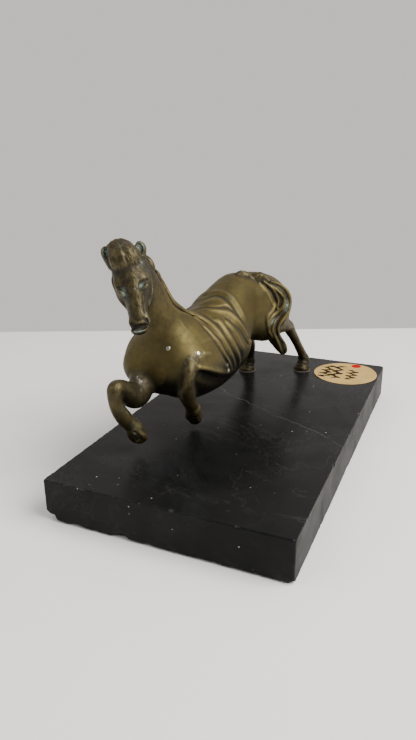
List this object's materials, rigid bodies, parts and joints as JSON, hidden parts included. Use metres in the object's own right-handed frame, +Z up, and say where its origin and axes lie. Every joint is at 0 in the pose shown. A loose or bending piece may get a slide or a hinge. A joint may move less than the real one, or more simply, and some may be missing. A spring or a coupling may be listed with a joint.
{
  "type": "bronze horse statuette",
  "caption": "Leaping horse in satin brown bronze, standing by its hind hooves on a black marble slab with a round paper label.",
  "frame": {"origin": "centre of the base's underside, on the surface that it stands on", "axes": "+X along the base's long side towards the end that the horse leaps at, +Y towards the horse's left, +Z up"},
  "size_m": [0.2, 0.11, 0.1163],
  "materials": {
    "marble": "polished, worn",
    "felt": "matte",
    "label_paper": "matte",
    "bedding": "matte",
    "bronze": "satin olive patina",
    "bronze_dark": "satin brown patina",
    "plug_metal": "rubbed bright",
    "bare_bronze": "turned",
    "steel": "zinc plated"
  },
  "bodies": {
    "root": {"marble_base": "marble", "base_felt": "felt", "paper_label": "label_paper", "hoof_bedding": "bedding", "torso_shell": "bronze", "head_and_neck": "bronze_dark", "left_foreleg": "bronze_dark", "right_foreleg": "bronze_dark", "left_hind_leg": "bronze_dark", "right_hind_leg": "bronze_dark", "tail": "bronze_dark", "core_pin_plugs": "plug_metal", "neck_sleeve": "bare_bronze", "left_foreleg_pin": "bare_bronze", "right_foreleg_pin": "bare_bronze", "left_hind_leg_pin": "bare_bronze", "right_hind_leg_pin": "bare_bronze", "tail_pin": "bare_bronze", "left_mounting_stud": "steel", "right_mounting_stud": "steel", "stud_washers": "steel", "stud_nuts": "steel"}
  },
  "joints": []
}
